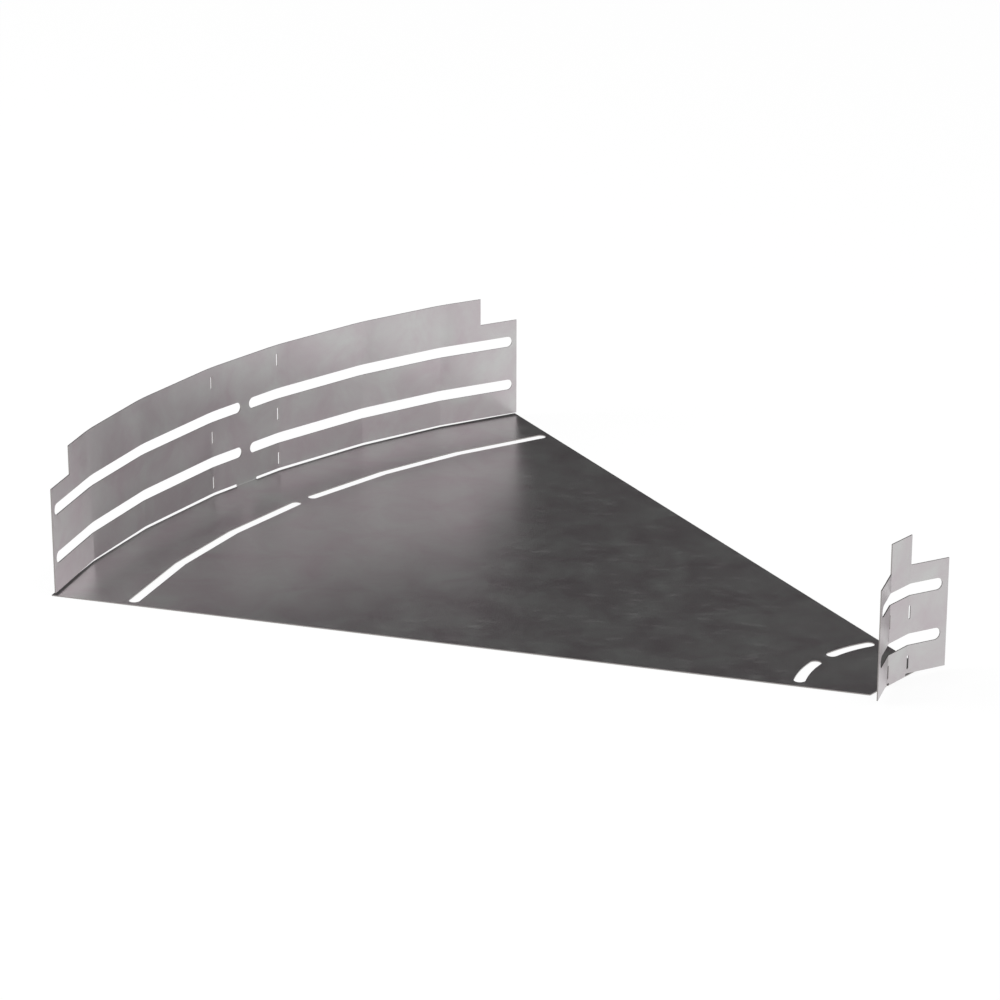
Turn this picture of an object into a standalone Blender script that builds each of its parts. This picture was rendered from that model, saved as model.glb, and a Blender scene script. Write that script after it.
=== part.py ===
"""Cable tray bend, 45 degrees, cut as one flat steel blank and folded up.

The blank lies flat with its underside at height 0. Its plan is laid out from the bend centre, the
point where the two open ends of the floor would meet: X runs from there along the middle of the bend
to the outer wall, and Y runs across it. The floor stays flat. Each wall is a straight strip that
hangs on the floor by one short bridge. The bridge is folded up by a quarter turn, and the strip is
then creased into facets that follow the bend.
"""

import math

import bmesh
import bpy
from mathutils import Vector

# Whole bend, in metres
TURN = math.radians(45.0)  # angle between the two open ends
TRAY_WIDTH = 0.6000  # over both walls, measured along an open end
INNER_RADIUS = 0.0732  # bend centre to the outside of the inner wall
SHEET = 0.0008  # steel thickness
WALL_HEIGHT = 0.1029  # underside to the top of both walls
LAP_HEIGHT = 0.0812  # underside to the top of the lowered wall ends
FOOT_HEIGHT = 0.0025  # underside to the free lower edge of both walls
FOLD_RADIUS = 0.0004  # inside radius of the quarter turn between floor and wall
CREASE_RADIUS = 0.0020  # inside radius of a crease between two facets
OUTER_RELIEF = 0.0003  # how far the floor's edge stands back from the outer fold line, beside the bridge
INNER_RELIEF = 0.0009  # depth of the notches beside the inner bridge, past the fold line

# Outer wall: a centre facet and three more on each side of it, the last one up to the open end
OUTER_CREASES = 3
OUTER_CENTRE = 0.0726
OUTER_SECOND = 0.0854
OUTER_THIRD = 0.0744
OUTER_LAP = 0.0325  # length of the lowered part at each end
OUTER_BRIDGE = 0.0213
EDGE_OVERHANG = 0.0031  # how far the floor's corner reaches past the wall's inside face

# Inner wall: a middle facet as wide as its raised tab, and one free facet on each side
INNER_MIDDLE = 0.0235
INNER_END = 0.0306
INNER_BRIDGE = 0.0195
NOTCH_WIDTH = 0.0016  # notch on each side of the inner bridge

# Long bolt slots, with round ends
SLOT = 0.0086
UPPER_SLOT = 0.0636  # underside to the centre line of the upper row
LOWER_SLOT = 0.0273
OUTER_SLOT_END = 0.0041  # metal between a slot and the wall's end
INNER_SLOT_END = 0.0048
SLOT_WEB = 0.0092  # metal between the two slots of a row, at the middle of the bend

# Slits that mark the bend lines
OUTER_SLIT = 0.0014  # width on the outer wall
INNER_SLIT = 0.0018
SLIT_LENGTH = 0.0101
LOW_SLIT = 0.0106  # underside to the middle of the slit
MIDDLE_SLIT = 0.0471
HIGH_SLIT = 0.0911

# Bolt slots in the floor: a cranked pair beside the outer wall, a curved pair beside the inner one
FLOOR_SLOT = 0.0082
FLOOR_SLOT_WEB = 0.0114  # metal between the two slots of a pair, at the middle of the bend
CRANKED_SLOT_INSET = 0.0598  # outer wall's face to the slot's centre line
CRANKED_SLOT_END = 0.0043  # metal between a slot and the floor's open end
CRANK_LEAN = math.radians(4.35)  # first run of the cranked slot, against the wall's centre facet
CRANK_FIRST = 0.0843
CRANK_SECOND = 0.0727
CURVED_SLOT_INSET = 0.0600  # inner wall's face to the slot's centre line
CURVED_SLOT_RADIUS = 0.0923
CURVED_SLOT_END = 0.0059

# How finely round stretches are drawn
FOLD_STEPS = 6
ROUND_END_STEPS = 10
CURVED_SLOT_STEPS = 12
INNER_CREASE_STEPS = 3
OUTER_CREASE_STEPS = 1

TINY = 1e-6

# Sizes that follow from the ones above
half_turn = TURN / 2
outer_crease = half_turn / OUTER_CREASES
inner_crease = half_turn
neutral_fold = FOLD_RADIUS + SHEET / 2
neutral_crease = CREASE_RADIUS + SHEET / 2
fold_length = neutral_fold * math.pi / 2

inner_face_x = INNER_RADIUS + SHEET
inner_end_apothem = INNER_RADIUS * math.cos(half_turn) + INNER_MIDDLE / 2 * math.sin(half_turn)
outer_end_apothem = inner_end_apothem + TRAY_WIDTH - SHEET
outer_face_x = (
    outer_end_apothem
    - OUTER_CENTRE / 2 * math.sin(half_turn)
    - OUTER_SECOND * math.sin(half_turn - outer_crease)
    - OUTER_THIRD * math.sin(half_turn - 2 * outer_crease)
) / math.cos(half_turn)

outer_fold_x = outer_face_x - FOLD_RADIUS
inner_fold_x = inner_face_x + FOLD_RADIUS


def heading(angle, distance):
    """Step along a wall that has turned by angle from the Y direction."""
    return Vector((-math.sin(angle) * distance, math.cos(angle) * distance))


def facing(angle):
    """Direction square to a wall that has turned by angle, on the side away from the bend centre."""
    return Vector((math.cos(angle), math.sin(angle)))


def outer_corners():
    """Corners of the outer wall's inside face in plan, from its centre facet to its open end."""
    corners = [Vector((outer_face_x, OUTER_CENTRE / 2))]
    corners.append(corners[-1] + heading(outer_crease, OUTER_SECOND))
    corners.append(corners[-1] + heading(2 * outer_crease, OUTER_THIRD))
    # The last facet stands square to the open end and stops at it.
    along = corners[-1].dot(heading(half_turn, 1.0))
    corners.append(corners[-1] - heading(half_turn, along))
    return corners


outer_plan = outer_corners()
outer_last = (outer_plan[3] - outer_plan[2]).length
outer_marks = [
    OUTER_CENTRE / 2,
    OUTER_CENTRE / 2 + OUTER_SECOND,
    OUTER_CENTRE / 2 + OUTER_SECOND + OUTER_THIRD,
]
outer_half = outer_marks[-1] + outer_last
inner_marks = [INNER_MIDDLE / 2]
inner_half = INNER_MIDDLE / 2 + INNER_END


def outer_flat(height):
    """X in the flat blank of a point on the outer wall at this height over the underside."""
    return outer_fold_x + fold_length + height - SHEET - FOLD_RADIUS


def inner_flat(height):
    """X in the flat blank of a point on the inner wall at this height over the underside."""
    return inner_fold_x - fold_length - height + SHEET + FOLD_RADIUS


def mirrored(half):
    """Close an outline from the half of it at positive Y."""
    return half + [(x, -y) for x, y in reversed(half)]


def floor_rim():
    """Corners of the floor's outer edge, which leaves the wall's face gradually towards the ends."""
    setback = FOLD_RADIUS + OUTER_RELIEF
    rim = []
    for index, corner in enumerate(outer_plan):
        angle = min(index + 0.5, OUTER_CREASES) * outer_crease
        past = (setback + EDGE_OVERHANG) * (index / OUTER_CREASES) ** 2 - setback
        rim.append(corner + facing(angle) * past)
    rim[0].x = outer_fold_x - OUTER_RELIEF
    # The last corner is moved along its edge to the straight open end of the floor.
    last, before = rim[-1], rim[-2]
    run = last - before
    slope = math.tan(half_turn)
    share = (slope * before.x - before.y) / (run.y - slope * run.x)
    rim[-1] = before + run * share
    return [tuple(corner) for corner in rim]


def blank_outline():
    """Outline of the flat blank: floor, two bridges and two wall strips."""
    top, lap, foot = (outer_flat(z) for z in (WALL_HEIGHT, LAP_HEIGHT, FOOT_HEIGHT))
    outer_strip = [
        (top, outer_half - OUTER_LAP),
        (lap, outer_half - OUTER_LAP),
        (lap, outer_half),
        (foot, outer_half),
        (foot, OUTER_BRIDGE / 2),
        (outer_fold_x - OUTER_RELIEF, OUTER_BRIDGE / 2),
    ]
    top, lap, foot = (inner_flat(z) for z in (WALL_HEIGHT, LAP_HEIGHT, FOOT_HEIGHT))
    bridge = INNER_BRIDGE / 2
    notch = inner_fold_x + INNER_RELIEF
    inner_strip = [
        (inner_face_x, inner_face_x * math.tan(half_turn)),
        (inner_face_x, bridge + NOTCH_WIDTH),
        (notch, bridge + NOTCH_WIDTH),
        (notch, bridge),
        (foot, bridge),
        (foot, inner_half),
        (lap, inner_half),
        (lap, INNER_MIDDLE / 2),
        (top, INNER_MIDDLE / 2),
    ]
    return mirrored(outer_strip + floor_rim() + inner_strip)


def round_end(centre, outward, width):
    """Half circle round the end of a slot, from its left side to its right, facing outward."""
    points = []
    for step in range(ROUND_END_STEPS + 1):
        angle = outward + math.pi / 2 - math.pi * step / ROUND_END_STEPS
        points.append(centre + Vector((math.cos(angle), math.sin(angle))) * width / 2)
    return points


def slot_along(path, width):
    """Outline of a slot with round ends whose centre line is this path of points."""
    path = [Vector(point) for point in path]
    runs = [(after - before).normalized() for before, after in zip(path, path[1:])]
    left, right = [], []
    for point, run, following in zip(path[1:], runs, runs[1:]):
        across = Vector((-(run.y + following.y), run.x + following.x)).normalized()
        reach = width / 2 / across.dot(Vector((-run.y, run.x)))
        left.append(point + across * reach)
        right.append(point - across * reach)
    end = round_end(path[-1], math.atan2(runs[-1].y, runs[-1].x), width)
    start = round_end(path[0], math.atan2(-runs[0].y, -runs[0].x), width)
    return [tuple(point) for point in left + end + right[::-1] + start]


def slit_outline(x, y, width):
    """Outline of one slit across the strip's length, centred here."""
    reach = (SLIT_LENGTH - width) / 2
    return slot_along([(x - reach, y), (x + reach, y)], width)


def wall_openings():
    """Slots and slits of both wall strips, in the flat blank."""
    holes = []
    cap = SLOT / 2
    for height in (UPPER_SLOT, LOWER_SLOT):
        x = outer_flat(height)
        near, far = SLOT_WEB / 2 + cap, outer_half - OUTER_SLOT_END - cap
        holes.append(slot_along([(x, near), (x, far)], SLOT))
        holes.append(slot_along([(x, -far), (x, -near)], SLOT))
        x = inner_flat(height)
        far = inner_half - INNER_SLOT_END - cap
        holes.append(slot_along([(x, -far), (x, far)], SLOT))
    for side in (1, -1):
        for height in (LOW_SLIT, MIDDLE_SLIT, HIGH_SLIT):
            holes.append(slit_outline(outer_flat(height), side * outer_marks[0], OUTER_SLIT))
        for height in (LOW_SLIT, MIDDLE_SLIT):
            holes.append(slit_outline(inner_flat(height), side * inner_marks[0], INNER_SLIT))
    return holes


def open_end_distance(point):
    """Distance from a point of the floor to its straight open end at positive Y."""
    return (point.x * math.tan(half_turn) - point.y) * math.cos(half_turn)


def cranked_path():
    """Centre line of the cranked floor slot at positive Y, from the middle of the bend to the open end."""
    path = [Vector((outer_face_x - CRANKED_SLOT_INSET, 0.0))]
    lean = CRANK_LEAN
    path.append(path[-1] + heading(lean, CRANK_FIRST))
    lean += outer_crease
    path.append(path[-1] + heading(lean, CRANK_SECOND))
    lean += outer_crease
    rest = open_end_distance(path[-1]) - CRANKED_SLOT_END - FLOOR_SLOT / 2
    path.append(path[-1] + heading(lean, rest / math.cos(half_turn - lean)))
    start = (FLOOR_SLOT_WEB + FLOOR_SLOT) / 2
    path[0] += heading(CRANK_LEAN, start / math.cos(CRANK_LEAN))
    return path


def curved_path():
    """Centre line of the curved floor slot at positive Y, from the middle of the bend to the open end."""
    centre_x = inner_face_x + CURVED_SLOT_INSET - CURVED_SLOT_RADIUS
    first = math.asin((FLOOR_SLOT_WEB + FLOOR_SLOT) / 2 / CURVED_SLOT_RADIUS)
    # The slot's end cap stands at its own margin from the open end, which sets the last angle.
    margin = CURVED_SLOT_END + FLOOR_SLOT / 2
    reach = (centre_x * math.sin(half_turn) - margin) / CURVED_SLOT_RADIUS
    last = half_turn + math.asin(reach)
    path = []
    for step in range(CURVED_SLOT_STEPS + 1):
        angle = first + (last - first) * step / CURVED_SLOT_STEPS
        path.append(Vector((centre_x + CURVED_SLOT_RADIUS * math.cos(angle),
                            CURVED_SLOT_RADIUS * math.sin(angle))))
    return path


def floor_openings():
    """The four bolt slots of the floor."""
    holes = []
    for path in (cranked_path(), curved_path()):
        holes.append(slot_along(path, FLOOR_SLOT))
        holes.append(slot_along([(x, -y) for x, y in path], FLOOR_SLOT))
    return holes


def flat_blank(outlines):
    """The blank as a mesh, from a filled 2D curve whose inner outlines are holes."""
    curve = bpy.data.curves.new("blank_outline", "CURVE")
    curve.dimensions = "2D"
    curve.fill_mode = "BOTH"
    curve.extrude = SHEET / 2
    for outline in outlines:
        spline = curve.splines.new("POLY")
        spline.points.add(len(outline) - 1)
        for point, (x, y) in zip(spline.points, outline):
            point.co = (x, y, 0.0, 1.0)
        spline.use_cyclic_u = True
    drawn = bpy.data.objects.new("blank_outline", curve)
    bpy.context.scene.collection.objects.link(drawn)
    graph = bpy.context.evaluated_depsgraph_get()
    mesh = bpy.data.meshes.new_from_object(drawn.evaluated_get(graph))
    bpy.data.objects.remove(drawn)
    bpy.data.curves.remove(curve)
    blank = bmesh.new()
    blank.from_mesh(mesh)
    bpy.data.meshes.remove(mesh)
    bmesh.ops.remove_doubles(blank, verts=blank.verts, dist=TINY)
    bmesh.ops.translate(blank, verts=blank.verts, vec=(0.0, 0.0, SHEET / 2))
    return blank


def split(blank, faces, place, normal):
    """Cut edges into these faces where a plane crosses them, so that they can fold there."""
    edges = {edge for face in faces for edge in face.edges}
    verts = {vert for face in faces for vert in face.verts}
    bmesh.ops.bisect_plane(
        blank, geom=list(verts) + list(edges) + list(faces), dist=TINY / 10, plane_co=place, plane_no=normal
    )


def score_folds(blank):
    """Score the quarter turns of both bridges into the blank."""
    for start, foot in ((outer_fold_x, outer_flat(FOOT_HEIGHT)), (inner_fold_x, inner_flat(FOOT_HEIGHT))):
        away = math.copysign(fold_length, foot - start)
        lines = [start + away * step / FOLD_STEPS for step in range(FOLD_STEPS + 1)] + [foot]
        for x in lines:
            split(blank, blank.faces[:], (x, 0.0, 0.0), (1.0, 0.0, 0.0))


def score_creases(blank, marks, crease, steps, in_strip):
    """Score the creases between a strip's facets, each as wide as its bend needs."""
    width = neutral_crease * crease
    for mark in marks:
        for side in (1, -1):
            for step in range(steps + 1):
                y = side * (mark + width * (step / steps - 0.5))
                faces = [face for face in blank.faces if in_strip(face.calc_center_median().x)]
                split(blank, faces, (0.0, y, 0.0), (0.0, 1.0, 0.0))


def follow(length, offset, marks, crease, face_x, hollow):
    """Plan position of a point on a creased wall.

    Length is measured along the strip from the middle of the bend, and offset across the sheet
    from the wall's face on the tray's side, towards +X. Hollow is the offset of the sheet's other
    surface or the same one, whichever lies on the inside of the creases.
    """
    arc = neutral_crease * crease
    axis_offset = hollow - CREASE_RADIUS
    turned = 0.0
    place = Vector((face_x, 0.0))
    walked = 0.0
    for mark in marks:
        start = mark - arc / 2
        if length <= start:
            break
        place += heading(turned, start - walked)
        walked = min(start + arc, length)
        axis = place + facing(turned) * axis_offset
        turned += (walked - start) / arc * crease
        place = axis - facing(turned) * axis_offset
    return place + heading(turned, length - walked) + facing(turned) * offset


def fold_vert(vert):
    """Move one corner of the blank to its place on the folded bend."""
    x, y, z = vert.co
    depth = SHEET - z
    beside_bridge = abs(y) > INNER_BRIDGE / 2 + TINY and x > inner_face_x - TINY
    outer = x > outer_fold_x + TINY
    inner = x < inner_fold_x - TINY and not beside_bridge
    if not outer and not inner:
        return
    walked = x - outer_fold_x if outer else inner_fold_x - x
    if walked < fold_length:
        angle = walked / neutral_fold
        reach = (FOLD_RADIUS + depth) * math.sin(angle)
        vert.co.x = outer_fold_x + reach if outer else inner_fold_x - reach
        vert.co.z = SHEET + FOLD_RADIUS - (FOLD_RADIUS + depth) * math.cos(angle)
        return
    if outer:
        place = follow(abs(y), depth, outer_marks, outer_crease, outer_face_x, 0.0)
    else:
        place = follow(abs(y), -depth, inner_marks, inner_crease, inner_face_x, -SHEET)
    height = SHEET + FOLD_RADIUS + walked - fold_length
    vert.co = (place.x, math.copysign(place.y, y), height)


def stand_at_origin(folded):
    """Move the bend so that the middle of its box lies over the origin."""
    xs = [vert.co.x for vert in folded.verts]
    shift = -(min(xs) + max(xs)) / 2
    bmesh.ops.translate(folded, verts=folded.verts, vec=(shift, 0.0, 0.0))


def steel():
    """Bare cold-rolled steel: a dull grey mirror."""
    material = bpy.data.materials.new("bare_steel")
    material.use_nodes = True
    shader = material.node_tree.nodes["Principled BSDF"]
    shader.inputs["Base Color"].default_value = (0.42, 0.41, 0.41, 1.0)
    shader.inputs["Metallic"].default_value = 1.0
    shader.inputs["Roughness"].default_value = 0.35
    material.diffuse_color = (0.42, 0.41, 0.41, 1.0)
    return material


def main():
    for thing in list(bpy.data.objects):
        bpy.data.objects.remove(thing)
    collection = bpy.data.collections.new("Cable tray bend")
    bpy.context.scene.collection.children.link(collection)

    blank = flat_blank([blank_outline()] + wall_openings() + floor_openings())
    score_folds(blank)
    outer_foot, inner_foot = outer_flat(FOOT_HEIGHT), inner_flat(FOOT_HEIGHT)
    score_creases(blank, outer_marks, outer_crease, OUTER_CREASE_STEPS, lambda x: x > outer_foot)
    score_creases(blank, inner_marks, inner_crease, INNER_CREASE_STEPS, lambda x: x < inner_foot)
    for vert in blank.verts:
        fold_vert(vert)
    stand_at_origin(blank)
    bmesh.ops.recalc_face_normals(blank, faces=blank.faces)

    mesh = bpy.data.meshes.new("bend_sheet")
    blank.to_mesh(mesh)
    blank.free()
    mesh.materials.append(steel())
    collection.objects.link(bpy.data.objects.new("bend_sheet", mesh))


main()
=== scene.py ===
"""Cable tray bend, 45 degrees, in bare cold-rolled steel, on a white studio floor.

One sheet of steel is punched, scored and folded up here as the real one is. Its plan is laid out
from the bend centre, the point where the two open ends of the floor would meet: X runs from there
along the middle of the bend to the outer wall, Y runs across it, and Z is up. All sizes are metres.
"""

import logging
import math
from dataclasses import dataclass, field
from enum import Enum

import bmesh
import bpy
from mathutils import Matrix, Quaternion, Vector


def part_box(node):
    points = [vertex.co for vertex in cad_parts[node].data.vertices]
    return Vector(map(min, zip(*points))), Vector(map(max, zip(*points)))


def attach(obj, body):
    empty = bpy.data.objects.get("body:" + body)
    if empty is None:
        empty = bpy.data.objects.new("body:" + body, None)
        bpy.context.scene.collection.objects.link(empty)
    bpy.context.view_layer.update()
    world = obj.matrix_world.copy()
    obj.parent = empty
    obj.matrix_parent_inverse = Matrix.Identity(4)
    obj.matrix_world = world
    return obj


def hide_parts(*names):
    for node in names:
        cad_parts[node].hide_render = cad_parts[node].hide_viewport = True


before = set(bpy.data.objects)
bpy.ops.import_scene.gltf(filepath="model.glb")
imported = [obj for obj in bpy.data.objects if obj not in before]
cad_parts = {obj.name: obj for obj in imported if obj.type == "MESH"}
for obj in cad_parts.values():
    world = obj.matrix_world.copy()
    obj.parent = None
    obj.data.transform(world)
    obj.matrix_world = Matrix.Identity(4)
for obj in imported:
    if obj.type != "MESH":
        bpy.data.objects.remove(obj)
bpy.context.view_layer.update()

log = logging.getLogger("cable_tray_bend")

NODE = "bend_sheet"
BODY = "root"
PLAN_MAP = "blank_plan"  # UV map that holds each point's place in the flat blank, in metres
CUT_FACE = "cut_face"  # face attribute of the sheet's punched and sheared edges
CUT_KIND = "cut_kind"  # point attribute that says which opening is punched there
TINY = 1e-6  # far smaller than any gap or edge of the bend
MM = 0.001
WHITE = "#FFFFFF"


def linear(hex_colour: str) -> tuple[float, float, float, float]:
    """Turn an sRGB colour into linear light.

    Args:
        hex_colour: Six hexadecimal digits after a hash sign.

    Returns:
        Red, green, blue and an alpha of 1.
    """
    channels = []
    for start in (1, 3, 5):
        value = int(hex_colour[start:start + 2], 16) / 255
        channels.append(value / 12.92 if value <= 0.04045 else ((value + 0.055) / 1.055) ** 2.4)
    return (channels[0], channels[1], channels[2], 1.0)


def add_node(tree: bpy.types.NodeTree, kind: str, links: dict[str | int, object] | None = None,
             **settings: object) -> bpy.types.Node:
    """Add a node with its settings and its inputs.

    Args:
        tree: The node tree that gets it.
        kind: The node's type name.
        links: What goes into each input, by name or place: another node's output, a plain value,
            or a list of outputs that all go in.
        **settings: Attributes of the node itself.

    Returns:
        The new node.
    """
    node = tree.nodes.new(kind)
    for name, value in settings.items():
        setattr(node, name, value)
    for key, value in (links or {}).items():
        for source in value if isinstance(value, list) else [value]:
            if isinstance(source, bpy.types.NodeSocket):
                tree.links.new(source, node.inputs[key])
            else:
                node.inputs[key].default_value = source
    return node


def calculate(tree: bpy.types.NodeTree, values: dict[str, bpy.types.NodeSocket],
              steps: tuple[tuple, ...]) -> None:
    """Add a calculation to a tree, one step after another.

    Args:
        tree: The node tree that gets it.
        values: The values known so far, by name. The result of each step joins them.
        steps: For each step the name of its result, the operation, and its terms, which are
            names of values or plain numbers.
    """
    for name, operation, *terms in steps:
        known = [values[term] if isinstance(term, str) else term for term in terms]
        step = add_node(tree, "ShaderNodeMath", dict(enumerate(known)), operation=operation)
        values[name] = step.outputs[0]


def start_tree(name: str, inputs: dict[str, str], outputs: dict[str, str]) -> bpy.types.GeometryNodeTree:
    """Start a Geometry Nodes tree.

    Args:
        name: The tree's name.
        inputs: Socket type of each named input.
        outputs: Socket type of each named output.

    Returns:
        The tree, with nothing in it but its sockets.
    """
    tree = bpy.data.node_groups.new(name, "GeometryNodeTree")
    for way, sockets in (("INPUT", inputs), ("OUTPUT", outputs)):
        for label, kind in sockets.items():
            tree.interface.new_socket(name=label, in_out=way, socket_type=kind)
    return tree


def finish_tree(tree: bpy.types.GeometryNodeTree, made: bpy.types.NodeSocket,
                given: bpy.types.NodeOutputs, output: str) -> None:
    """End a tree with plain geometry and the two finishes.

    Args:
        tree: The tree.
        made: Its geometry so far.
        given: The tree's own inputs, with the two finishes.
        output: Name of the tree's output.
    """
    plain = add_node(tree, "GeometryNodeRealizeInstances", {"Geometry": made})
    cut_face = add_node(tree, "GeometryNodeInputNamedAttribute", {"Name": CUT_FACE}, data_type="BOOLEAN")
    faces = add_node(tree, "GeometryNodeSetMaterial", {
        "Geometry": plain.outputs[0], "Material": given["Rolled face"],
    })
    edges = add_node(tree, "GeometryNodeSetMaterial", {
        "Geometry": faces.outputs[0],
        "Selection": cut_face.outputs["Attribute"],
        "Material": given["Cut face"],
    })
    add_node(tree, "NodeGroupOutput", {output: edges.outputs[0]})


def run_tree(source: bpy.types.Object, tree: bpy.types.GeometryNodeTree,
             values: dict[str, object]) -> bpy.types.Mesh:
    """Run a tree on an object and keep the result as a plain mesh.

    Args:
        source: The object whose geometry goes in. It is removed.
        tree: The tree to run.
        values: What each named input of the tree is set to.

    Returns:
        The mesh that came out.
    """
    modifier = source.modifiers.new(tree.name, "NODES")
    modifier.node_group = tree
    for item in tree.interface.items_tree:
        if item.in_out == "INPUT" and item.name in values:
            modifier[item.identifier] = values[item.name]
    return settle(source)


def settle(source: bpy.types.Object) -> bpy.types.Mesh:
    """Apply an object's modifiers to a new mesh, and remove the object.

    Args:
        source: The object, with its modifiers.

    Returns:
        Its mesh with all of them applied.
    """
    graph = bpy.context.evaluated_depsgraph_get()
    evaluated = source.evaluated_get(graph)
    mesh = bpy.data.meshes.new_from_object(evaluated, preserve_all_data_layers=True, depsgraph=graph)
    bpy.data.objects.remove(source)
    return mesh


def place(name: str, data: bpy.types.ID) -> bpy.types.Object:
    """Put something into the scene as an object at the origin.

    Args:
        name: The object's name.
        data: Its mesh, curve, light or camera.

    Returns:
        The object.
    """
    thing = bpy.data.objects.new(name, data)
    bpy.context.scene.collection.objects.link(thing)
    return thing


def heading(angle: float, distance: float) -> Vector:
    """Step along a wall that has turned by angle from the Y direction."""
    return Vector((-math.sin(angle) * distance, math.cos(angle) * distance))


def facing(angle: float) -> Vector:
    """Direction square to a wall that has turned by angle, on the side away from the bend centre."""
    return Vector((math.cos(angle), math.sin(angle)))


def slot_outline(path: list[Vector], width: float, steps: int) -> list[tuple[float, float]]:
    """Draw a slot with round ends round its centre line.

    Args:
        path: Points of the centre line.
        width: The slot's width.
        steps: How many straight pieces each round end has.

    Returns:
        The outline's points.
    """
    runs = [(after - before).normalized() for before, after in zip(path, path[1:])]
    left, right = [], []
    for point, run, following in zip(path[1:], runs, runs[1:]):
        across = Vector((-(run.y + following.y), run.x + following.x)).normalized()
        reach = width / 2 / across.dot(Vector((-run.y, run.x)))
        left.append(point + across * reach)
        right.append(point - across * reach)
    ends = []
    for centre, run in ((path[-1], runs[-1]), (path[0], -runs[0])):
        outward = math.atan2(run.y, run.x)
        angles = [outward + math.pi * (0.5 - step / steps) for step in range(steps + 1)]
        ends.append([centre + Vector((math.cos(a), math.sin(a))) * width / 2 for a in angles])
    return [tuple(point) for point in left + ends[0] + right[::-1] + ends[1]]


class Cut(Enum):
    """Openings that repeat along the walls, by the number that marks them on the blank."""

    OUTER_SLOT = 1
    INNER_SLOT = 2
    OUTER_SLIT = 3
    INNER_SLIT = 4


@dataclass(frozen=True)
class Sheet:
    """The steel sheet and how tightly it is bent.

    Attributes:
        thickness: Thickness of the steel.
        fold_radius: Inside radius of the quarter turn between floor and wall.
        fold_steps: Straight pieces in a quarter turn.
        crease_steps: Straight pieces in a crease at its tightest.
        edge_break: Width of the soft rim that punching leaves on a cut edge.
        edge_steps: Straight pieces across that rim.
    """

    thickness: float = 0.0008
    fold_radius: float = 0.0004
    fold_steps: int = 12
    crease_steps: int = 4
    edge_break: float = 0.00009
    edge_steps: int = 2

    @property
    def fold_neutral(self) -> float:
        """Radius of the middle of the sheet in a fold."""
        return self.fold_radius + self.thickness / 2

    @property
    def fold_length(self) -> float:
        """Flat length that a quarter turn takes up."""
        return self.fold_neutral * math.pi / 2

    @property
    def stands(self) -> float:
        """Height over the underside at which a wall's straight part begins."""
        return self.thickness + self.fold_radius


@dataclass(frozen=True)
class Openings:
    """Sizes and heights of the openings that both walls have.

    Attributes:
        slot: Width of a long bolt slot.
        slot_heights: Underside to the centre line of each row of bolt slots.
        outer_slit: Width of a slit that marks a bend line of the long wall.
        inner_slit: Width of one of the short wall.
        slit_length: Length of all these slits.
        slit_heights: Underside to the middle of each slit, the lowest first.
        end_steps: Straight pieces in a quarter of a round end.
    """

    slot: float = 0.0086
    slot_heights: tuple[float, float] = (0.0636, 0.0273)
    outer_slit: float = 0.0014
    inner_slit: float = 0.0018
    slit_length: float = 0.0101
    slit_heights: tuple[float, float, float] = (0.0106, 0.0471, 0.0911)
    end_steps: int = 10


@dataclass(frozen=True)
class Wall:
    """What the two walls share: a strip that hangs on the floor by one bridge.

    Attributes:
        sheet: The steel it is made of.
        openings: Its slots and slits.
        half_turn: Half of the bend's angle.
        top: Underside to the top edge.
        lap: Underside to the top edge of the lowered ends.
        foot: Underside to the free lower edge.
        crease_radius: Inside radius of a crease between two facets, at the fold line.
        crease_growth: How much that radius grows with each metre of height.
        crease_ease: Length over which the sheet's slight spring eases a crease, for each metre of height.
    """

    sheet: Sheet
    openings: Openings
    half_turn: float
    top: float = 0.1029
    lap: float = 0.0812
    foot: float = 0.0025
    crease_radius: float = 0.0020
    crease_growth: float = 0.0
    crease_ease: float = 0.0

    @property
    def crease(self) -> float:
        """Angle of each crease."""
        raise NotImplementedError

    @property
    def marks(self) -> list[float]:
        """Distance along the strip from its middle to each crease."""
        raise NotImplementedError

    def flat_x(self, height: float) -> float:
        """X in the flat blank of a point at this height over the underside."""
        raise NotImplementedError

    def crease_lines(self) -> list[float]:
        """Find where the blank needs rows of vertices across a crease.

        Returns:
            Each row's distance from the crease's middle.
        """
        steps = self.sheet.crease_steps
        tight = (self.crease_radius + self.sheet.thickness / 2) * self.crease
        found = [tight * (step / steps - 0.5) for step in range(steps + 1)]
        widened = self.crease_growth * self.top * self.crease / 2
        eased = self.crease_ease * self.top / 2
        if widened > tight:
            rows = [widened * step / steps for step in range(1, steps + 1)]
            rows += [widened + (eased - widened) * step / steps for step in range(1, steps + 1)]
            found += [side * row for row in rows for side in (1, -1)]
        return found

    def eased_turn(self, along: float, height: float) -> float:
        """Say how far the springy sheet has turned beyond the facets it is folded into.

        Args:
            along: Distance along the strip from its middle.
            height: Height over the underside.

        Returns:
            The angle between the sheet and the folded shape there.
        """
        turn = 0.0
        folded = (self.crease_radius + self.crease_growth * height) * self.crease
        for width, side in ((max(self.crease_ease * height, folded), 1), (folded, -1)):
            for mark in self.marks:
                turn += side * self.crease * min(max((along - mark) / width + 0.5, 0.0), 1.0)
        return turn


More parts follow.
